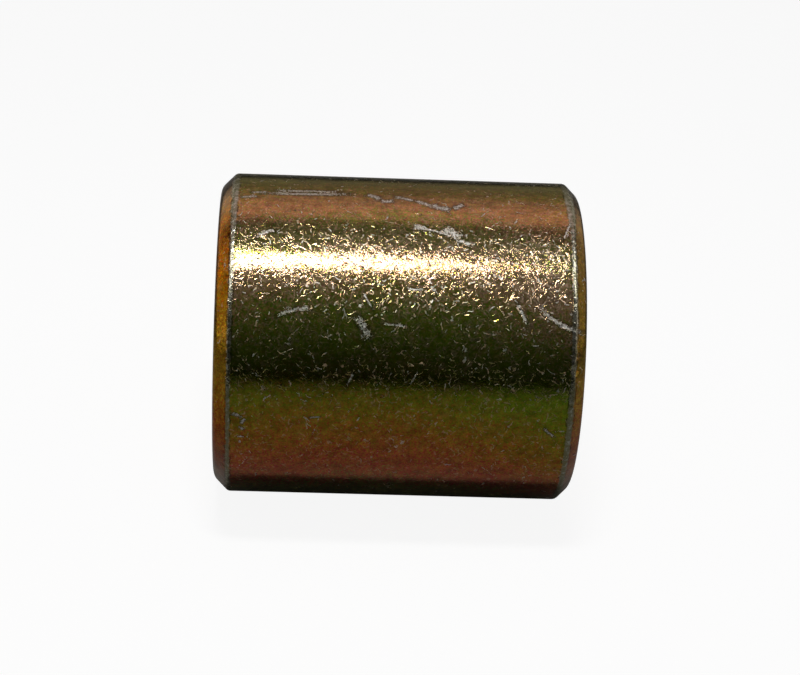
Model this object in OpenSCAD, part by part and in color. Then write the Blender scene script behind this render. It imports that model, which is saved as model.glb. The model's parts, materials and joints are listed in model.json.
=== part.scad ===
// Steel-backed sleeve bushing: a plated steel shell with a bronze liner pressed into it.
// The bore runs along X and its middle is the origin. Millimetres.

/* [Shell] */
// Outside diameter of the shell, the seat that a housing grips
shell_od = 28.575; // [28:0.005:34]
// Length over both end faces of the shell
length = 31.75; // [16:0.05:80]
// 45 degree chamfer on the outside at the lead end, which is pressed in first
lead_chamfer = 1.3; // [0.4:0.05:1.6]
// 45 degree chamfer on the outside at the rear end
rear_chamfer = 1.1; // [0.4:0.05:1.6]
// 45 degree chamfer at each end of the hole that holds the liner
shell_bore_chamfer = 0.45; // [0.2:0.05:0.6]

/* [Liner] */
// Bore diameter, the running surface for the shaft
bore_d = 19.05; // [16:0.005:19.4]
// Wall thickness of the liner
liner_wall = 1.5875; // [1.2:0.0125:1.8]
// How far each end of the liner sits below the shell's end face
liner_recess = 0.25; // [0.1:0.05:1]
// 45 degree chamfer at each end of the bore
bore_chamfer = 0.5; // [0.2:0.05:0.6]
// 45 degree chamfer at each end of the liner's outside, which guides it into the shell
liner_lead = 0.4; // [0.2:0.05:0.5]

/* [Hidden] */
$fn = 180;
shell_r = shell_od / 2;
bore_r = bore_d / 2;
seat_r = bore_r + liner_wall;    // where the liner meets the shell, line to line as assembled
shell_end = length / 2;
liner_end = shell_end - liner_recess;

// A ring about the X axis whose section is drawn as [radius, position along X].
module ring_along_x(section) {
    rotate([0, 90, 0])
        rotate_extrude()
            polygon(section);
}

// The tube that the housing grips, chamfered inside and outside at both ends.
module steel_shell() {
    color("goldenrod")
        ring_along_x([
            [seat_r + shell_bore_chamfer, -shell_end],
            [shell_r - lead_chamfer, -shell_end],
            [shell_r, -shell_end + lead_chamfer],
            [shell_r, shell_end - rear_chamfer],
            [shell_r - rear_chamfer, shell_end],
            [seat_r + shell_bore_chamfer, shell_end],
            [seat_r, shell_end - shell_bore_chamfer],
            [seat_r, -shell_end + shell_bore_chamfer]
        ]);
}

// The thin tube that the shaft runs in, a press fit in the shell.
module bronze_liner() {
    color("peru")
        ring_along_x([
            [bore_r + bore_chamfer, -liner_end],
            [seat_r - liner_lead, -liner_end],
            [seat_r, -liner_end + liner_lead],
            [seat_r, liner_end - liner_lead],
            [seat_r - liner_lead, liner_end],
            [bore_r + bore_chamfer, liner_end],
            [bore_r, liner_end - bore_chamfer],
            [bore_r, -liner_end + bore_chamfer]
        ]);
}

steel_shell();
bronze_liner();
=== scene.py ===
import json
import math
import random

import bpy
import numpy as np
from mathutils import Matrix, Vector


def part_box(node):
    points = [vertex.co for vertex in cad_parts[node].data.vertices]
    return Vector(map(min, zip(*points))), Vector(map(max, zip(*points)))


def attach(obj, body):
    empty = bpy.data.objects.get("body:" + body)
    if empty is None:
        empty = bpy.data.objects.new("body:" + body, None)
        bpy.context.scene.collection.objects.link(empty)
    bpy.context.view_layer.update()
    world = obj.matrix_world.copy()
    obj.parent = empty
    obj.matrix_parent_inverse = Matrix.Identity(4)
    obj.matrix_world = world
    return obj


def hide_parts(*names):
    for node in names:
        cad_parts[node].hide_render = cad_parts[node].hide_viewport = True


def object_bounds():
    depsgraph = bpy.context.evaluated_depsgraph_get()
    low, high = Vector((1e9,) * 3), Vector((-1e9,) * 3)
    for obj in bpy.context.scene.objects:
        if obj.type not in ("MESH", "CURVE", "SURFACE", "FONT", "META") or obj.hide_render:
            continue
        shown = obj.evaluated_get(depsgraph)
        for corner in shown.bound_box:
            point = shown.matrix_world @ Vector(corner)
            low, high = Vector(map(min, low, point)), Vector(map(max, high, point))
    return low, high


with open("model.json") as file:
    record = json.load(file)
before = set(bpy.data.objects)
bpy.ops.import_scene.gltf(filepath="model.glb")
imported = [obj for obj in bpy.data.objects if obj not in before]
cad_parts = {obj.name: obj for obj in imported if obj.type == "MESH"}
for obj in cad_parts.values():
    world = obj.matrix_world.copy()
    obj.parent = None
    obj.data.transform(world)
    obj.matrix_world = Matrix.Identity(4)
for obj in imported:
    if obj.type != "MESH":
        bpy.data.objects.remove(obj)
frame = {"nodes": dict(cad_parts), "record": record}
cad_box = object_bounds()

MM = 0.001

SHELL = "steel_shell"
LINER = "bronze_liner"

# Camera: its angles in degrees, its distance from the origin and a small slide off it
CAMERA_AZIMUTH = -2.91
CAMERA_ELEVATION = 30.0
CAMERA_ROLL = 3.13
CAMERA_DISTANCE = 211.8 * MM
CAMERA_SLIDE = (0.515 * MM, -0.044 * MM)
CAMERA_LENS = 105.4
CAMERA_SENSOR = 36.0

# Meshes: facets round the axis, steps in a rounded corner, and gaps between rows of points
SHELL_SEGMENTS = 800
LINER_SEGMENTS = 480
ARC_STEPS = 6
FINE_GAP = 0.15 * MM
ROW_GAP = 0.8 * MM
BORE_GAP = 1.0 * MM
# Longer than the bushing, so that a side with this gap is one step
ONE_STEP = 40 * MM
# Two sizes closer than this are the same size
SAME_PLACE = 0.02 * MM

# Rounding of the shell's and the liner's corners
LEAD_FACE_ROUND = 1.1 * MM
REAR_FACE_ROUND = 0.9 * MM
WORN_EDGE_ROUND = 0.5 * MM
BORE_EDGE_ROUND = 0.12 * MM
SHARP_ROUND = 0.05 * MM
SEAT_ROUND = 0.02 * MM
# How far in from each outer edge the rows of points are close together
EDGE_ZONE = 1.2 * MM

# Handling marks: how many there are, and the range of their sizes and depths in mm
SEED = 11
LEAD_NICKS = 60
REAR_NICKS = 80
NICK_SPREAD = (-0.15, 0.15)
NICK_SIZE = (0.2, 0.5)
NICK_DEPTH = (0.01, 0.045)
DENTS = 70
DENT_SIZE = (0.4, 0.9)
DENT_DEPTH = (0.004, 0.010)
# The one chip on the rear edge: degrees above the front, size and depth
CHIP_DEGREES = 20
CHIP_SIZE = 0.6 * MM
CHIP_DEPTH = 0.16 * MM

# Lights, in outside radii: place, size and radiance, and for panels the name and colour too
KEY = ((-3.0, -2.5, 18), (9.1, 1.17), 31)
FLOOR_LAMP = ((-1.0, -4.2, 18), (5.0, 2.0), 36)
PANELS = (
    ("back_panel", (0, 12.8, 16.1), (40, 6.9), 0.36, (1, 0.72, 0.70)),
    ("middle_panel", (0, 16.8, 12.6), (40, 3.4), 0.24, (1, 0.80, 0.74)),
    ("low_panel", (0, 23, 7.2), (50, 13), 0.12, (1, 0.9, 0.62)),
    ("left_strip", (-11.4, -2, 15.8), (7, 10), 2.6, (1, 0.97, 0.94)),
    ("right_strip", (12.7, -1, 15), (7, 10), 2.6, (1, 0.97, 0.94)),
    ("left_panel", (-20, 1, 3), (22, 8.4), 0.36, (1, 0.9, 0.8)),
    ("right_panel", (20, 1, 3), (22, 8.4), 0.25, (1, 0.9, 0.8)),
    ("back_left_panel", (-14, 17, 2), (14, 6.5), 0.28, (1, 0.9, 0.8)),
    ("back_right_panel", (14, 17, 2), (14, 6.5), 0.2, (1, 0.9, 0.8)),
)

# Room: how light it is by height, and the colour that the camera sees instead
ROOM_LEVELS = ((0.0, 0.012), (0.3, 0.03), (0.6, 0.065), (0.9, 0.13), (1.0, 0.15))
BACKDROP = (0.93, 0.93, 0.93, 1)

# Floor: half its width, and its tone near and far, which paints a falloff of light that darkens it
# further out, with both distances in outside radii
FLOOR_HALF = 3.0
FLOOR_NEAR = 3
FLOOR_FAR = 22
FLOOR_TONE_NEAR = 0.42
FLOOR_TONE_FAR = 0.05
# How much of that tone the camera sees, and the glow that it sees with it
FLOOR_TONE_SEEN = 0.4
FLOOR_GLOW = (0.91, 0.91, 0.91, 1)


# ---------------------------------------------------------------- sizes from the frame

def x_and_radius(node):
    """The x and the radius of every vertex of a CAD node."""
    points = np.array([v.co for v in frame["nodes"][node].data.vertices])
    return points[:, 0], np.hypot(points[:, 1], points[:, 2])


def x_span_at(node, radius):
    """Lowest and highest x at which a CAD node has vertices at this radius."""
    x, r = x_and_radius(node)
    found = x[np.abs(r - radius) < SAME_PLACE]
    return found.min(), found.max()


def face_span_at(node, x_face):
    """Smallest and largest radius of a CAD node's flat face at this x."""
    x, r = x_and_radius(node)
    found = r[np.abs(x - x_face) < SAME_PLACE]
    return found.min(), found.max()


shell_low, shell_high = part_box(SHELL)
liner_low, liner_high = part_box(LINER)
shell_radius = min(shell_high.y, shell_high.z)
seat_radius = min(liner_high.y, liner_high.z)
bore_radius = next(
    m["dims"]["r_mm"] * MM for m in frame["record"]["mounts"] if m["name"] == "bore"
)
lead_edge, rear_edge = x_span_at(SHELL, shell_high.z)


# ---------------------------------------------------------------- meshes

def link(thing):
    """Put a new object into the scene."""
    bpy.context.scene.collection.objects.link(thing)


def direction(vector):
    """A vector of length 1 that points the same way."""
    return vector / np.linalg.norm(vector)


def rounded_corner(before, corner, after, radius):
    """The points of an arc that rounds one corner of an outline, or the corner itself."""
    if not radius:
        return [corner]
    back, ahead = direction(before - corner), direction(after - corner)
    half = math.acos(float(np.clip(back @ ahead, -1, 1))) / 2
    reach = radius / math.tan(half)
    centre = corner + direction(back + ahead) * radius / math.sin(half)
    start = corner + back * reach - centre
    end = corner + ahead * reach - centre
    turn = math.atan2(start[0] * end[1] - start[1] * end[0], start @ end)
    arc = []
    for step in range(ARC_STEPS + 1):
        c, s = math.cos(turn * step / ARC_STEPS), math.sin(turn * step / ARC_STEPS)
        arc.append(centre + np.array([start[0] * c - start[1] * s, start[0] * s + start[1] * c]))
    return arc


def rounded_section(outline):
    """A closed (x, radius) outline with each corner rounded and each side cut into rows."""
    corners = [np.array(row[:2], float) for row in outline]
    count = len(corners)
    arcs = []
    for i, (_, _, radius, _) in enumerate(outline):
        arcs.append(rounded_corner(corners[i - 1], corners[i], corners[(i + 1) % count], radius))
    rows = []
    for i, (_, _, _, gap) in enumerate(outline):
        rows.extend(arcs[i])
        here, there = arcs[i][-1], arcs[(i + 1) % count][0]
        pieces = max(1, round(float(np.linalg.norm(there - here)) / gap))
        for k in range(1, pieces):
            rows.append(here + (there - here) * k / pieces)
    return np.array(rows)


def nicked(points, nicks):
    """Points pushed towards the axis near each nick: (x, angle, size, depth)."""
    angle = np.arctan2(points[:, 2], -points[:, 1])
    radius = np.hypot(points[:, 1], points[:, 2])
    sunk = np.zeros(len(points))
    for x, at_angle, size, depth in nicks:
        turn = (angle - at_angle + math.pi) % (2 * math.pi) - math.pi
        square = ((points[:, 0] - x) ** 2 + (turn * radius) ** 2) / size ** 2
        sunk = np.maximum(sunk, depth * np.clip(1 - square, 0, 1) ** 2)
    scale = (1 - sunk / radius)[:, None]
    return points * np.hstack([np.ones_like(scale), scale, scale])


def lathe(name, section, segments, nicks=()):
    """A ring about the X axis from a closed (x, radius) outline."""
    turn = np.arange(segments) * 2 * math.pi / segments
    x = np.repeat(section[:, 0][:, None], segments, 1)
    y = -section[:, 1][:, None] * np.cos(turn)[None, :]
    z = section[:, 1][:, None] * np.sin(turn)[None, :]
    points = nicked(np.stack([x, y, z], -1).reshape(-1, 3), nicks)
    row = np.arange(len(section))[:, None] * segments
    next_row = (np.arange(len(section))[:, None] + 1) % len(section) * segments
    here = np.arange(segments)[None, :]
    there = (here + 1) % segments
    quads = np.stack([row + here, row + there, next_row + there, next_row + here], -1)
    mesh = bpy.data.meshes.new(name)
    mesh.from_pydata(points.tolist(), [], quads.reshape(-1, 4).tolist())
    mesh.update()
    mesh.shade_smooth()
    piece = bpy.data.objects.new(name, mesh)
    link(piece)
    return piece


def random_nick(draw, x, sizes, depths):
    """A nick at this x: (x, angle, size, depth), with the last three drawn at random."""
    angle = draw.uniform(-math.pi, math.pi)
    size = draw.uniform(*sizes) * MM
    depth = draw.uniform(*depths) * MM
    return x, angle, size, depth


def handling_nicks():
    """One chip, small random nicks along both outer edges, and shallow dents between them."""
    draw = random.Random(SEED)
    nicks = [(rear_edge, math.radians(CHIP_DEGREES), CHIP_SIZE, CHIP_DEPTH)]
    for edge, count in ((lead_edge, LEAD_NICKS), (rear_edge, REAR_NICKS)):
        for _ in range(count):
            x = edge + draw.uniform(*NICK_SPREAD) * MM
            nicks.append(random_nick(draw, x, NICK_SIZE, NICK_DEPTH))
    for _ in range(DENTS):
        x = draw.uniform(lead_edge, rear_edge)
        nicks.append(random_nick(draw, x, DENT_SIZE, DENT_DEPTH))
    return nicks


def make_shell():
    """The shell, from its outline's (x, radius, corner rounding, gap between rows after it)."""
    low_face, high_face = shell_low.x, shell_high.x
    low_inner, low_outer = face_span_at(SHELL, low_face)
    high_inner, high_outer = face_span_at(SHELL, high_face)
    seat_low, seat_high = x_span_at(SHELL, seat_radius)
    outline = (
        (low_face, low_outer, LEAD_FACE_ROUND, FINE_GAP),
        (lead_edge, shell_radius, WORN_EDGE_ROUND, FINE_GAP),
        (lead_edge + EDGE_ZONE, shell_radius, 0, ROW_GAP),
        (rear_edge - EDGE_ZONE, shell_radius, 0, FINE_GAP),
        (rear_edge, shell_radius, WORN_EDGE_ROUND, FINE_GAP),
        (high_face, high_outer, REAR_FACE_ROUND, 2 * FINE_GAP),
        (high_face, high_inner, SHARP_ROUND, ONE_STEP),
        (seat_high, seat_radius, SEAT_ROUND, ONE_STEP),
        (seat_low, seat_radius, SEAT_ROUND, ONE_STEP),
        (low_face, low_inner, SHARP_ROUND, 2 * FINE_GAP),
    )
    return lathe("plated_shell", rounded_section(outline), SHELL_SEGMENTS, handling_nicks())


def make_liner():
    """The liner, from its outline's (x, radius, corner rounding, gap between rows after it)."""
    low_face, high_face = liner_low.x, liner_high.x
    inner, outer = face_span_at(LINER, low_face)
    bore_low, bore_high = x_span_at(LINER, bore_radius)
    outer_low, outer_high = x_span_at(LINER, seat_radius)
    gap = 2 * FINE_GAP
    outline = (
        (low_face, outer, SHARP_ROUND, gap),
        (outer_low, seat_radius, SHARP_ROUND, ONE_STEP),
        (outer_high, seat_radius, SHARP_ROUND, gap),
        (high_face, outer, SHARP_ROUND, gap),
        (high_face, inner, BORE_EDGE_ROUND, gap),
        (bore_high, bore_radius, BORE_EDGE_ROUND, BORE_GAP),
        (bore_low, bore_radius, BORE_EDGE_ROUND, gap),
        (low_face, inner, BORE_EDGE_ROUND, gap),
    )
    return lathe("bronze_bearing_liner", rounded_section(outline), LINER_SEGMENTS)


# ---------------------------------------------------------------- tables of looks

# The film's colours by degrees above the front, on the outside and on each chamfer: partly the
# film's own tint and partly a painted sheen; on the outside the pale, whitish band at 48 to 62
# degrees is a painted highlight under the key
SHELL_FILM_AND_SHEEN = (
    (-180, (0.50, 0.46, 0.14)), (-150, (0.55, 0.38, 0.12)), (-110, (0.56, 0.26, 0.13)),
    (-75, (0.40, 0.38, 0.12)), (-50, (0.30, 0.34, 0.09)), (-36, (0.34, 0.32, 0.08)),
    (-30, (0.48, 0.12, 0.075)), (-22, (0.51, 0.13, 0.075)), (-11, (0.46, 0.17, 0.055)),
    (-2, (0.42, 0.21, 0.045)), (8, (0.30, 0.24, 0.036)), (16, (0.24, 0.26, 0.030)),
    (30, (0.22, 0.34, 0.035)), (38, (0.25, 0.34, 0.045)), (43, (0.31, 0.35, 0.065)),
    (48, (0.54, 0.34, 0.10)), (52, (0.64, 0.38, 0.19)), (56, (0.68, 0.46, 0.32)),
    (62, (0.58, 0.38, 0.21)), (68, (0.32, 0.37, 0.07)), (75, (0.27, 0.33, 0.05)),
    (79, (0.48, 0.30, 0.14)), (83, (0.55, 0.26, 0.16)), (91, (0.52, 0.28, 0.13)),
    (98, (0.44, 0.30, 0.08)), (108, (0.26, 0.26, 0.045)), (125, (0.52, 0.44, 0.16)),
    (150, (0.58, 0.38, 0.14)), (180, (0.50, 0.46, 0.14)),
)
LEAD_FILM_AND_SHEEN = (
    (-180, (0.52, 0.38, 0.12)), (-90, (0.45, 0.26, 0.10)), (-45, (0.30, 0.24, 0.14)),
    (-25, (0.28, 0.08, 0.03)), (-17, (0.36, 0.09, 0.02)), (-8, (0.48, 0.13, 0.03)),
    (0, (0.56, 0.20, 0.035)), (10, (0.56, 0.31, 0.05)), (22, (0.74, 0.42, 0.07)),
    (29, (0.52, 0.30, 0.045)), (37, (0.32, 0.17, 0.025)), (43, (0.32, 0.15, 0.022)),
    (52, (0.48, 0.18, 0.027)), (66, (0.80, 0.28, 0.045)), (78, (0.60, 0.28, 0.06)),
    (92, (0.46, 0.28, 0.13)), (140, (0.50, 0.42, 0.15)), (180, (0.52, 0.38, 0.12)),
)
REAR_FILM_AND_SHEEN = (
    (-180, (0.48, 0.40, 0.12)), (-90, (0.40, 0.30, 0.12)), (-45, (0.30, 0.26, 0.13)),
    (-25, (0.38, 0.14, 0.07)), (-8, (0.46, 0.17, 0.07)), (8, (0.58, 0.33, 0.08)),
    (22, (0.66, 0.42, 0.09)), (30, (0.36, 0.25, 0.05)), (40, (0.28, 0.19, 0.035)),
    (52, (0.30, 0.19, 0.04)), (62, (0.42, 0.27, 0.065)), (85, (0.42, 0.24, 0.09)),
    (140, (0.50, 0.42, 0.15)), (180, (0.48, 0.40, 0.12)),
)

# Share of cells that have a small scratch, by degrees above the front
WEAR_SHARE = (
    (-180, 0.5), (-90, 0.35), (-40, 0.08), (8, 0.12), (17, 0.50), (36, 0.62), (45, 0.74),
    (52, 0.92), (62, 0.92), (67, 0.72), (73, 0.45), (78, 0.22), (100, 0.2), (140, 0.6), (180, 0.5),
)
# How wide the bare metal shows at each edge, in mm to either side, by degrees above the front
LEAD_WEAR = (
    (-180, 0.22), (-60, 0.20), (0, 0.15), (40, 0.15), (65, 0.17), (75, 0.24), (95, 0.32),
    (130, 0.28), (180, 0.22),
)
REAR_WEAR = (
    (-180, 0.26), (-60, 0.26), (0, 0.24), (40, 0.20), (68, 0.20), (78, 0.32), (95, 0.42),
    (130, 0.34), (180, 0.26),
)
# Single scuffs: x in mm, degrees above the front, length, width, slant in degrees, and bend
SCUFFS = (
    (1.5, 71.3, 1.1, 0.60, -10, 0.0), (4.3, 69.2, 1.7, 0.85, -38, 0.0),
    (5.3, 65.2, 1.3, 0.42, -20, 0.0), (3.0, 69.6, 3.4, 0.20, -19, 0.0),
    (-2.4, 88.2, 1.4, 0.55, -36, 0.2), (-1.3, 85.4, 1.1, 0.50, 10, 0.0),
    (0.2, 87.6, 1.7, 0.42, -20, 0.1), (1.9, 84.6, 1.5, 0.45, -30, 0.0),
    (3.3, 82.2, 1.7, 0.62, -24, -0.1), (4.9, 83.4, 1.1, 0.50, 38, 0.0),
    (-8.4, 90.9, 5.3, 0.40, 1, 0.01), (-8.3, 88.6, 6.8, 0.44, 2, -0.01),
    (-13.3, 85.6, 1.4, 0.30, 8, 0.0), (-12.4, 89.0, 1.4, 0.30, 5, 0.0),
    (13.4, 36.0, 3.8, 0.38, -28, -0.08), (10.2, 39.0, 2.0, 0.30, -62, 0.0),
    (-3.2, 33.0, 2.0, 0.60, -60, 0.1), (-9.2, 38.0, 2.6, 0.32, 15, 0.1),
    (-0.6, 34.0, 1.8, 0.18, -5, 0.0), (1.1, 46.5, 1.2, 0.16, 0, 0.0),
    (-2.9, 42.0, 1.5, 0.18, -59, 0.0), (-4.2, 15.0, 1.2, 0.20, 65, 0.0),
    (-13.7, 0.6, 0.9, 0.26, -20, 0.5), (-13.2, -2.0, 0.6, 0.28, 60, 0.0),
    (-13.3, -4.8, 0.5, 0.22, -30, 0.0), (-13.4, -8.5, 0.6, 0.18, 0, 0.0),
    (-7.1, 0.5, 0.9, 0.16, 5, 0.0), (13.0, -3.4, 1.1, 0.24, -42, 0.0),
    (-11.7, 67.0, 1.6, 0.32, 25, 0.1), (14.2, 72.0, 2.2, 0.16, 70, 0.0),
    (1.2, 16.0, 1.2, 0.16, 60, 0.0),
)
# Layers of small scratches: shift in mm, how many to a mm, half length, half width, steepest lean
FINE_LAYERS = (
    ((0.0, 0.0, 0.0), 3.4, 0.28, 0.052, 0.34),
    ((37.0, 5.0, 11.0), 2.5, 0.36, 0.058, 0.36),
    ((71.0, 23.0, 5.0), 2.9, 0.32, 0.052, 0.36),
)
DEEP_LAYERS = (
    ((3.0, 51.0, 7.0), 2.2, 0.36, 0.055, 0.5),
    ((13.0, 1.0, 77.0), 0.7, 0.9, 0.045, 0.5),
)
# The bore's one layer, the same but for the shift, and the share of cells that have a scratch
BORE_LAYER = (1.2, 0.6, 0.05, 0.3)
BORE_SHARE = 0.4

# Noises, in mm: scale, detail, roughness
NOISE = {
    "drift": (1.0, 3.0, 0.5),
    "streak": (1.0, 3.0, 0.6),
    "grain": (4.5, 4.0, 0.85),
    "patch": (0.9, 4.0, 0.7),
    "mottle": (1.2, 5.0, 0.75),
    "hue": (6.0, 2.0, 0.7),
    "share": (0.3, 3.0, 0.5),
    "warp": (1.6, 2.0, 0.5),
    "broken": (3.0, 2.0, 0.6),
    "torn": (5.0, 4.0, 0.85),
    "bundle": (8.0, 2.0, 0.6),
    "ragged": (2.0, 4.0, 0.75),
    "outline": (1.5, 3.0, 0.5),
    "rubbed": (2.6, 4.0, 0.7),
    "tint": (2.0, 2.0, 0.5),
    "speck": (7.0, 2.0, 0.7),
    "swell": (3.0, 4.0, 0.72),
    "lumps": (2.6, 3.0, 0.6),
    "rings": (7.0, 3.0, 0.6),
    "bore rings": (6.0, 4.0, 0.7),
    "tarnish": (0.35, 5.0, 0.65),
    "bore gloss": (0.8, 4.0, 0.6),
}
# How the film's drift and streaks are drawn out along the axis
DRIFT_STRETCH = (0.05, 0.25, 0.25)
STREAK_STRETCH = (0.35, 2.0, 2.0)

# How far the film's colours move, as a share of a turn
DRIFT = 0.06
GRAIN = 0.30
STREAKING = 0.05
BOW = 0.04
LEAN = 0.016

PATCH_COLOUR = (0.46, 0.29, 0.09, 1.0)
THIN_FILM = (0.80, 0.57, 0.40, 1.0)
SILVER = (0.72, 0.72, 0.70, 1.0)
# Painted shade: the dark rim round each scuff
SCUFF_SHADE = (0.06, 0.05, 0.03, 1.0)
# Painted shadow: the dark line along each worn band
EDGE_SHADE = (0.02, 0.018, 0.01, 1.0)
DULL_EDGE = (0.26, 0.25, 0.14, 1.0)
BRIGHT_EDGE = (0.76, 0.75, 0.66, 1.0)
BRONZE = (0.66, 0.40, 0.19, 1.0)
TARNISHED = (0.42, 0.22, 0.09, 1.0)
FRESH_CUT = (0.80, 0.55, 0.30, 1.0)
SCRATCHED_BRONZE = (0.86, 0.66, 0.42, 1.0)

# Roughness of the film, and what each kind of wear adds to it
FILM_ROUGHNESS = 0.105
CUT_ROUGHNESS = 0.13
SCRATCH_ROUGHNESS = 0.34
WORN_ROUGHNESS = 0.10

# How much each kind of wear covers the film, and how much the painted shade round scuffs and the
# painted shadow along worn bands cover it
FINE_COVER = 0.35
CUT_COVER = 0.8
DEEP_COVER = 0.8
SCUFF_COVER = 0.9
WORN_COVER = 0.95
SCUFF_SHADE_COVER = 0.6
EDGE_SHADOW_COVER = 0.75

# Heights of the relief
SWELL_HEIGHT = 0.014 * MM
LUMP_HEIGHT = 0.040 * MM
RING_HEIGHT = 0.005 * MM
BORE_RING_HEIGHT = 0.006 * MM

# Worn edges, in mm: how far the bare band lies inside the edge, and how ragged it is
WEAR_INSET = 0.06
WEAR_RAGGED = 0.45
# In half widths: where nothing of a scuff shows, and how far noise moves its border
FAR_OUT = 9.0
TORN = 5.0
TORN_MIDDLE = -2.15


# ---------------------------------------------------------------- node helpers

class Nodes:
    """A node tree. Most methods add one node and return its output socket."""

    def __init__(self, tree):
        self.tree = tree
        tree.nodes.clear()

    def feed(self, socket, value):
        """Link another socket to this one, or set it to a plain value."""
        if isinstance(value, bpy.types.NodeSocket):
            self.tree.links.new(value, socket)
        else:
            socket.default_value = value

    def node(self, kind, inputs=None, **settings):
        """A shader node of this kind, with its inputs fed by name or number."""
        made = self.tree.nodes.new("ShaderNode" + kind)
        for name, value in settings.items():
            setattr(made, name, value)
        for name, value in (inputs or {}).items():
            self.feed(made.inputs[name], value)
        return made

    def math(self, operation, *values):
        """A maths operation on numbers."""
        made = self.node("Math", operation=operation)
        for socket, value in zip(made.inputs, values):
            self.feed(socket, value)
        return made.outputs[0]

    def plus(self, a, b):
        """a plus b."""
        return self.math("ADD", a, b)

    def minus(self, a, b):
        """a minus b."""
        return self.math("SUBTRACT", a, b)

    def times(self, a, b):
        """a times b."""
        return self.math("MULTIPLY", a, b)

    def times_plus(self, a, b, c):
        """a times b, plus c."""
        return self.math("MULTIPLY_ADD", a, b, c)

    def largest(self, first, *rest):
        """The largest of these values."""
        for value in rest:
            first = self.math("MAXIMUM", first, value)
        return first

    def wave(self, value, height):
        """A value from 0 to 1 as a swing of this height about 0."""
        return self.times_plus(value, height, -height / 2)

    def vector(self, operation, *values):
        """A maths operation on vectors."""
        made = self.node("VectorMath", operation=operation)
        for socket, value in zip(made.inputs, values):
            self.feed(socket, value)
        return made.outputs["Value" if operation in ("DOT_PRODUCT", "LENGTH") else "Vector"]

    def scaled(self, vector, factor):
        """A vector times a number."""
        inputs = {"Vector": vector, "Scale": factor}
        return self.node("VectorMath", inputs, operation="SCALE").outputs["Vector"]

    def noise(self, at, kind, colour=False):
        """The noise of this name in the table of noises."""
        scale, detail, roughness = NOISE[kind]
        inputs = {"Vector": at, "Scale": scale, "Detail": detail, "Roughness": roughness}
        return self.node("TexNoise", inputs).outputs["Color" if colour else "Fac"]

    def span(self, value, low, high, to_low=0.0, to_high=1.0):
        """value's range low to high, as a smooth step from to_low to to_high."""
        inputs = {
            "Value": value, "From Min": low, "From Max": high, "To Min": to_low, "To Max": to_high,
        }
        return self.node("MapRange", inputs, interpolation_type="SMOOTHSTEP").outputs["Result"]

    def ramp(self, factor, stops):
        """A colour between those of the stops, which are (place, colour)."""
        made = self.node("ValToRGB", {"Fac": factor})
        elements = made.color_ramp.elements
        while len(elements) < len(stops):
            elements.new(0.5)
        for element, (place, colour) in zip(elements, stops):
            element.position = place
            element.color = (*colour, 1.0)
        return made.outputs["Color"]

    def mix(self, factor, a, b):
        """Colour a where the factor is 0, and b where it is 1."""
        return self.node("MixRGB", {"Fac": factor, "Color1": a, "Color2": b}).outputs["Color"]

    def bump(self, height, distance, over=None):
        """A normal bumped by this height, on top of another normal where one is given."""
        inputs = {"Height": height, "Strength": 1.0, "Distance": distance}
        if over is not None:
            inputs["Normal"] = over
        return self.node("Bump", inputs).outputs[0]


def turns(degrees):
    """Degrees above the front as a share of a turn, from 0 to 1 all the way round."""
    return degrees / 360 + 0.5


def colour_by_angle(s, turn, stops):
    """A colour from stops that are (degrees above the front, colour)."""
    return s.ramp(turn, [(turns(degrees), colour) for degrees, colour in stops])


def value_by_angle(s, turn, stops):
    """A number from stops that are (degrees above the front, number)."""
    return colour_by_angle(s, turn, [(degrees, (value,) * 3) for degrees, value in stops])


def new_material(name):
    """A material and its node tree, still empty."""
    material = bpy.data.materials.new(name)
    material.use_nodes = True
    return material, Nodes(material.node_tree)


def end_in_metal(s, colour, roughness, normal):
    """The last two nodes of a metal: its surface and the output."""
    metal = s.node("BsdfPrincipled", {
        "Base Color": colour, "Metallic": 1.0, "Roughness": roughness, "Normal": normal,
    })
    s.node("OutputMaterial", {"Surface": metal.outputs[0]})


def in_mm(s):
    """The point that is shaded, in mm in the shared frame."""
    return s.scaled(s.node("TexCoord").outputs["Object"], 1 / MM)


def off_axis(s, at):
    """A point's distance from the bore axis."""
    return s.vector("LENGTH", s.vector("MULTIPLY", at, (0.0, 1.0, 1.0)))


# ---------------------------------------------------------------- wear

def scratches(s, at, share, per_mm, half_length, half_width, steepest):
    """Short random scratches: where they are, how bare they cut, and how far each side leans."""
    cells = s.node("TexVoronoi", {"Vector": at, "Scale": per_mm})
    centre = cells.outputs["Position"]
    offset = s.vector("SUBTRACT", at, centre)
    lean = s.vector("NORMALIZE", s.vector("SUBTRACT", cells.outputs["Color"], (0.5, 0.5, 0.5)))
    side = s.vector("DOT_PRODUCT", offset, lean)
    line = s.span(s.math("ABSOLUTE", side), half_width, 0.4 * half_width)
    reach = s.span(s.vector("LENGTH", offset), half_length, 0.7 * half_length)
    chance = s.node("TexWhiteNoise", {"Vector": centre}, noise_dimensions="3D")
    picked = s.math("LESS_THAN", chance.outputs["Value"], share)
    mask = s.times(s.times(line, reach), picked)
    cut, deep, _ = s.node("SeparateColor", {"Color": chance.outputs["Color"]}).outputs
    depth = s.times(s.math("POWER", deep, 2.0), steepest)
    tilt = s.times(s.times(s.math("SIGN", side), depth), mask)
    return mask, s.times(mask, s.span(cut, 0.1, 0.7)), s.scaled(lean, tilt)


def scratch_layers(s, p, share, layers):
    """Several layers of scratches as one mask and one cut, with each layer's lean."""
    made = [scratches(s, s.vector("ADD", p.bent, shift), share, *size) for shift, *size in layers]
    masks, cuts, leans = zip(*made)
    return s.largest(*masks), s.largest(*cuts), leans


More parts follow.
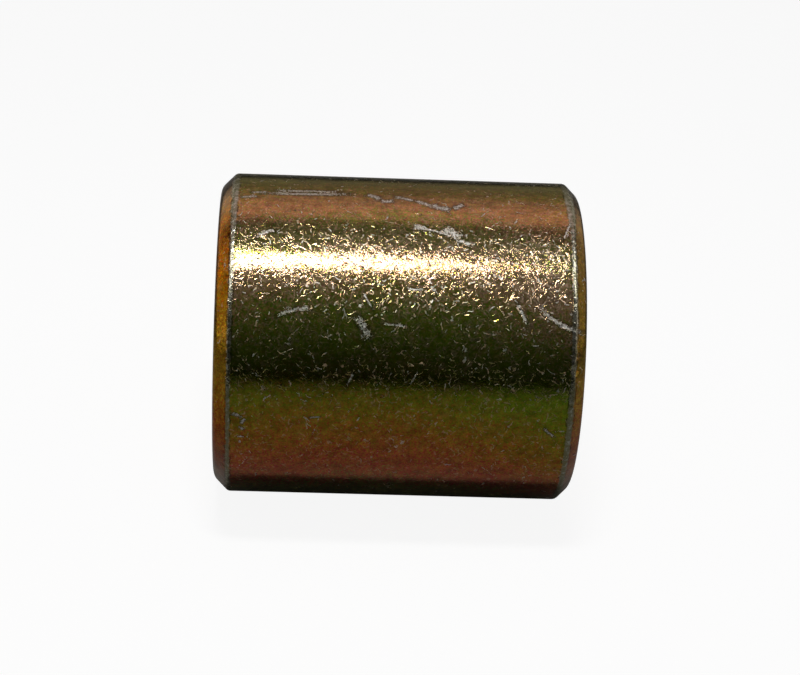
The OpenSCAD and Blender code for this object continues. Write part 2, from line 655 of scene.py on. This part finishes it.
def out_of_scuff(s, p, place, degrees, length, width, slant, bend):
    """How far out of one scuff a point is: 0 in the middle, 1 at its border."""
    along = s.minus(p.x, float(place))
    around = s.minus(p.around, math.radians(degrees) * shell_radius / MM)
    cosine, sine = math.cos(math.radians(slant)), math.sin(math.radians(slant))
    run = s.times_plus(along, cosine, s.times(around, sine))
    off = s.times_plus(around, cosine, s.times(along, -sine))
    if bend:
        off = s.times_plus(s.times(run, run), bend, off)
    aside = s.times(s.math("ABSOLUTE", off), 2 / width)
    ahead = s.times(s.math("ABSOLUTE", run), 2 / length)
    return s.largest(aside, s.times(ahead, ahead))


def scuffs(s, p):
    """The single scuffs, and a painted shade: the dark rim round each one."""
    nearest = FAR_OUT
    for scuff in SCUFFS:
        nearest = s.math("MINIMUM", out_of_scuff(s, p, *scuff), nearest)
    # One noise tears the borders, and a finer one breaks up the inside
    nearest = s.plus(nearest, s.times_plus(s.noise(p.bent, "torn"), TORN, TORN_MIDDLE))
    bundle = s.span(s.noise(p.bent, "bundle"), 0.40, 0.52, 0.35, 1.0)
    scuffed = s.times(s.span(nearest, 1.3, 0.8), bundle)
    return scuffed, s.minus(s.span(nearest, 2.1, 1.6), scuffed)


def worn_edge(s, p, ragged, edge, table):
    """The bare band along one outer edge, and a painted shadow: the thin ring round that band."""
    width = value_by_angle(s, p.turn, table)
    middle = edge / MM - math.copysign(WEAR_INSET, edge)
    away = s.math("ABSOLUTE", s.minus(p.x, float(middle)))
    past_band = s.minus(s.times_plus(ragged, WEAR_RAGGED, away), width)
    band = s.span(past_band, 0.06, -0.06)
    return band, s.minus(s.span(past_band, 0.16, 0.09), band)


def worn_edges(s, p):
    """Both bare bands, and the dark broken outline round them, a painted shadow."""
    ragged = s.wave(s.noise(p.at, "ragged"), 1.0)
    lead_band, lead_shadow_ring = worn_edge(s, p, ragged, lead_edge, LEAD_WEAR)
    rear_band, rear_shadow_ring = worn_edge(s, p, ragged, rear_edge, REAR_WEAR)
    broken = s.span(s.noise(p.at, "outline"), 0.4, 0.6)
    return s.largest(lead_band, rear_band), s.times(s.largest(lead_shadow_ring, rear_shadow_ring, 0.0), broken)


# ---------------------------------------------------------------- plated steel

class ShellPlace:
    """Sockets that say where on the shell a point is.

    at is the point in mm, and bent is the same point moved a little, so that scratches curve.
    turn is its share of a turn round the axis, and around is that as mm along the outside.
    across runs from -1 at the lead face to 1 at the rear face.
    past_edge is how many mm it is past an outer edge, on a chamfer, and it is negative between them.
    """

    def __init__(self, s):
        self.at = in_mm(s)
        self.x, y, z = s.node("SeparateXYZ", {"Vector": self.at}).outputs
        angle = s.math("ARCTAN2", z, s.times(y, -1.0))
        self.turn = s.times_plus(angle, 0.5 / math.pi, 0.5)
        self.around = s.times(angle, shell_radius / MM)
        self.across = s.times(self.x, MM / shell_high.x)
        before = s.minus(float(lead_edge / MM), self.x)
        behind = s.minus(self.x, float(rear_edge / MM))
        self.past_edge = s.largest(before, behind)
        warp = s.vector("SUBTRACT", s.noise(self.at, "warp", colour=True), (0.5, 0.5, 0.5))
        self.bent = s.vector("ADD", self.at, s.scaled(warp, 0.6))


def film_phase(s, p, grain, streaks):
    """Where in the run of colours the film is: soft bands along the axis that bow at the ends."""
    stretched = s.vector("MULTIPLY", p.at, DRIFT_STRETCH)
    drift = s.wave(s.noise(stretched, "drift"), DRIFT)
    bow = s.times(s.times(p.across, p.across), BOW)
    phase = s.plus(s.plus(p.turn, drift), s.plus(bow, grain))
    phase = s.plus(phase, streaks)
    lean = s.span(p.turn, turns(10), turns(40), LEAN, 0.0)
    return s.times_plus(p.across, lean, phase)


def chamfer_film_and_sheen(s, p, grain):
    """The film on the two chamfers and faces, where its colours run on their own: partly its own
    tint, partly a painted sheen.
    """
    phase = s.plus(p.turn, grain)
    lead = colour_by_angle(s, phase, LEAD_FILM_AND_SHEEN)
    rear = colour_by_angle(s, phase, REAR_FILM_AND_SHEEN)
    return s.mix(s.math("GREATER_THAN", p.x, 0.0), lead, rear)


def film_and_sheen_colour(s, p):
    """The film where nothing has worn it: its own tint with a painted sheen, and a painted highlight
    band under the key.
    """
    grain = s.wave(s.noise(p.at, "grain"), GRAIN)
    streak = s.noise(s.vector("MULTIPLY", p.at, STREAK_STRETCH), "streak")
    upper = s.span(p.turn, turns(66), turns(84), 0.3, 1.0)
    streaks = s.times(s.wave(streak, STREAKING), upper)
    # Painted sheen: the colours by angle include a painted highlight band under the key
    film = colour_by_angle(s, film_phase(s, p, grain, streaks), SHELL_FILM_AND_SHEEN)
    film = s.mix(s.span(p.past_edge, -0.05, 0.15), film, chamfer_film_and_sheen(s, p, grain))
    patch = s.span(s.noise(p.at, "patch"), 0.5, 0.72, 0.0, 0.4)
    film = s.mix(patch, film, PATCH_COLOUR)
    mottle = s.span(s.noise(p.at, "mottle"), 0.3, 0.7, 0.7, 1.3)
    striped = s.times_plus(s.span(streak, 0.3, 0.7, -0.16, 0.16), upper, 1.0)
    hue = s.span(s.noise(p.at, "hue"), 0.25, 0.75, 0.465, 0.535)
    inputs = {"Hue": hue, "Saturation": 1.06, "Value": s.times(mottle, striped), "Color": film}
    return s.node("HueSaturation", inputs).outputs[0]


def scratch_share(s, p):
    """The share of cells that have a small scratch: in patches, and little on the chamfers."""
    patchy = s.times_plus(s.noise(p.at, "share"), 1.6, 0.1)
    share = value_by_angle(s, p.turn, WEAR_SHARE)
    share = s.times(share, s.times_plus(p.across, 0.15, patchy))
    return s.times(share, s.span(p.past_edge, -0.1, 0.3, 1.0, 0.12))


def edge_metal(s, p):
    """Bare metal of the worn edges: bright where it was rubbed, and duller low down."""
    low_down = s.span(p.turn, turns(2), turns(32), 0.12, 0.0)
    rubbed = s.span(s.minus(s.noise(p.at, "rubbed"), low_down), 0.35, 0.7)
    return s.mix(rubbed, DULL_EDGE, BRIGHT_EDGE)


def shell_relief(s, p, bared, leans):
    """The normal: a soft swell, lumps where metal is bare, turned chamfers and scratches."""
    swell = s.bump(s.noise(p.bent, "swell"), SWELL_HEIGHT)
    lumps = s.times(s.times_plus(s.noise(p.at, "lumps"), 1.2, -0.85), bared)
    hammered = s.bump(lumps, LUMP_HEIGHT, swell)
    rings = s.node("CombineXYZ", {"X": p.x, "Y": off_axis(s, p.at)}).outputs[0]
    turned = s.times(s.noise(rings, "rings"), s.span(p.past_edge, 0.1, 0.4))
    normal = s.bump(turned, RING_HEIGHT, hammered)
    for lean in leans:
        normal = s.vector("ADD", normal, lean)
    return s.vector("NORMALIZE", normal)


def plated_steel():
    """Zinc plate under a yellow film with a painted sheen and highlight band, dense fine scratches,
    scuffs with painted shade round them, and worn edges with a painted shadow line.
    """
    material, s = new_material("yellow_passivated_zinc")
    p = ShellPlace(s)
    share = scratch_share(s, p)
    fine, cut, fine_leans = scratch_layers(s, p, share, FINE_LAYERS)
    deep, _, deep_leans = scratch_layers(s, p, s.times(share, 0.7), DEEP_LAYERS)
    deep = s.times(deep, s.span(s.noise(p.at, "broken"), 0.42, 0.55))
    scuffed, scuff_shade_rim = scuffs(s, p)
    worn, outline = worn_edges(s, p)

    # Painted shade: a dark rim round each scuff darkens the film
    film = s.mix(s.times(scuff_shade_rim, SCUFF_SHADE_COVER), film_and_sheen_colour(s, p), SCUFF_SHADE)
    # Painted shadow: a dark broken line along each worn band darkens the film
    film = s.mix(s.times(outline, EDGE_SHADOW_COVER), film, EDGE_SHADE)
    thin = s.largest(s.times(fine, FINE_COVER), s.times(cut, CUT_COVER))
    bare = s.mix(s.span(s.noise(p.at, "tint"), 0.4, 0.6), THIN_FILM, SILVER)
    scratched = s.mix(s.times(deep, DEEP_COVER), s.mix(thin, film, THIN_FILM), bare)
    colour = s.mix(s.times(scuffed, SCUFF_COVER), scratched, SILVER)
    speck = s.span(s.noise(p.at, "speck"), 0.3, 0.7, 0.8, 1.2)
    colour = s.node("HueSaturation", {"Color": colour, "Value": speck}).outputs[0]
    colour = s.mix(s.times(worn, WORN_COVER), colour, edge_metal(s, p))

    scratch_roughness = s.times(s.largest(deep, scuffed), SCRATCH_ROUGHNESS)
    rough = s.largest(s.times(cut, CUT_ROUGHNESS), scratch_roughness, s.times(worn, WORN_ROUGHNESS))
    roughness = s.plus(rough, FILM_ROUGHNESS)
    normal = shell_relief(s, p, s.largest(worn, scuffed), fine_leans + deep_leans)
    end_in_metal(s, colour, roughness, normal)
    return material


# ---------------------------------------------------------------- bronze

def bronze():
    """Bored and turned bronze: fine rings, soft tarnish and a few fine scratches."""
    material, s = new_material("bearing_bronze")
    at = in_mm(s)
    x = s.node("SeparateXYZ", {"Vector": at}).outputs["X"]
    rings = s.node("CombineXYZ", {"X": x, "Y": off_axis(s, at)}).outputs[0]
    cut = s.noise(rings, "bore rings")
    tarnish = s.span(s.noise(at, "tarnish"), 0.35, 0.7)
    colour = s.mix(tarnish, BRONZE, TARNISHED)
    colour = s.mix(s.span(cut, 0.35, 0.7, 0.0, 0.35), colour, FRESH_CUT)
    _, bare, lean = scratches(s, at, BORE_SHARE, *BORE_LAYER)
    colour = s.mix(s.times(bare, 0.6), colour, SCRATCHED_BRONZE)
    normal = s.vector("NORMALIZE", s.vector("ADD", s.bump(cut, BORE_RING_HEIGHT), lean))
    roughness = s.span(s.noise(at, "bore gloss"), 0.3, 0.7, 0.22, 0.38)
    end_in_metal(s, colour, roughness, normal)
    return material


# ---------------------------------------------------------------- scene

def facing(side, up, back):
    """A rotation whose x, y and z axes are these three directions."""
    return Matrix((side, up, back)).transposed().to_4x4()


def place_camera():
    """The camera, at its angles and distance from the origin, then slid and rolled a little."""
    azimuth, elevation = math.radians(CAMERA_AZIMUTH), math.radians(CAMERA_ELEVATION)
    back = Vector((
        math.sin(azimuth) * math.cos(elevation),
        -math.cos(azimuth) * math.cos(elevation),
        math.sin(elevation),
    ))
    right = (-back).cross(Vector((0, 0, 1))).normalized()
    up = right.cross(-back)
    place = back * CAMERA_DISTANCE + right * CAMERA_SLIDE[0] + up * CAMERA_SLIDE[1]
    roll = math.radians(CAMERA_ROLL)
    side = right * math.cos(roll) + up * math.sin(roll)
    top = up * math.cos(roll) - right * math.sin(roll)
    data = bpy.data.cameras.new("camera")
    data.lens = CAMERA_LENS
    data.sensor_width = CAMERA_SENSOR
    camera = bpy.data.objects.new("camera", data)
    camera.matrix_world = Matrix.Translation(place) @ facing(side, top, back)
    link(camera)
    bpy.context.scene.camera = camera


def softbox(name, place, size, radiance, colour=(1, 1, 1), shape="RECTANGLE", along=None):
    """An area light, in outside radii, that faces the origin with its width along a direction."""
    place = [distance * shell_radius for distance in place]
    width, depth = (length * shell_radius for length in size)
    data = bpy.data.lights.new(name, "AREA")
    data.shape = shape
    data.size, data.size_y = width, depth
    filled = math.pi / 4 if shape == "ELLIPSE" else 1.0
    data.energy = 4 * radiance * width * depth * filled
    data.color = colour
    light = bpy.data.objects.new(name, data)
    back = Vector(place).normalized()
    along = Vector(along or Vector((0, 0, 1)).cross(back))
    side = (along - back * along.dot(back)).normalized()
    light.matrix_world = Matrix.Translation(place) @ facing(side, back.cross(side), back)
    light.visible_camera = False
    link(light)
    return light


def light_scene():
    """An overhead key that the metal reflects, a lamp that lights the floor, and dim panels."""
    key = softbox("key", *KEY, shape="ELLIPSE", along=(1, 0, 0))
    key.visible_diffuse = False
    lamp = softbox("floor_lamp", *FLOOR_LAMP, shape="ELLIPSE")
    lamp.visible_glossy = False
    for panel in PANELS:
        softbox(*panel).visible_diffuse = False


def make_world():
    """A dim room that is lighter overhead, and a pale backdrop where the camera sees it."""
    world = bpy.data.worlds.new("studio")
    bpy.context.scene.world = world
    world.use_nodes = True
    s = Nodes(world.node_tree)
    way = s.node("TexCoord").outputs["Generated"]
    height = s.node("SeparateXYZ", {"Vector": way}).outputs["Z"]
    room = s.ramp(height, [(up, (level,) * 3) for up, level in ROOM_LEVELS])
    lit = s.node("Background", {"Color": room}).outputs[0]
    seen = s.node("Background", {"Color": BACKDROP}).outputs[0]
    to_camera = s.node("LightPath").outputs["Is Camera Ray"]
    both = s.node("MixShader", {0: to_camera, 1: lit, 2: seen}).outputs[0]
    s.node("OutputWorld", {"Surface": both})


def floor_paint():
    """Paint with a painted falloff of light, darker with distance, and pale to the camera but dim to
    reflections.
    """
    material, s = new_material("floor_paint")
    to_camera = s.node("LightPath").outputs["Is Camera Ray"]
    away = s.vector("LENGTH", s.node("TexCoord").outputs["Object"])
    painted_falloff = s.node("MapRange", {
        "Value": away,
        "From Min": FLOOR_NEAR * shell_radius,
        "From Max": FLOOR_FAR * shell_radius,
        "To Min": FLOOR_TONE_NEAR,
        "To Max": FLOOR_TONE_FAR,
    }).outputs["Result"]
    tone = s.times(painted_falloff, s.times_plus(to_camera, FLOOR_TONE_SEEN - 1, 1.0))
    paint = s.node("BsdfDiffuse", {"Color": tone}).outputs[0]
    glow = s.node("Emission", {"Color": FLOOR_GLOW, "Strength": to_camera}).outputs[0]
    both = s.node("AddShader", {0: paint, 1: glow}).outputs[0]
    s.node("OutputMaterial", {"Surface": both})
    return material


def make_floor():
    """A flat floor that touches the underside of the bushing."""
    mesh = bpy.data.meshes.new("floor")
    corners = [(x * FLOOR_HALF, y * FLOOR_HALF, 0) for x, y in ((-1, -1), (1, -1), (1, 1), (-1, 1))]
    mesh.from_pydata(corners, [], [(0, 1, 2, 3)])
    mesh.materials.append(floor_paint())
    floor = bpy.data.objects.new("floor", mesh)
    floor.location.z = cad_box[0].z
    link(floor)


for piece, material, slot, node in (
    (make_shell(), plated_steel(), "plated_steel", SHELL),
    (make_liner(), bronze(), "bronze", LINER),
):
    piece.data.materials.append(material)
    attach(piece, "root")
    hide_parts(node)

place_camera()
make_floor()
make_world()
light_scene()
bpy.context.scene.view_settings.view_transform = "Standard"
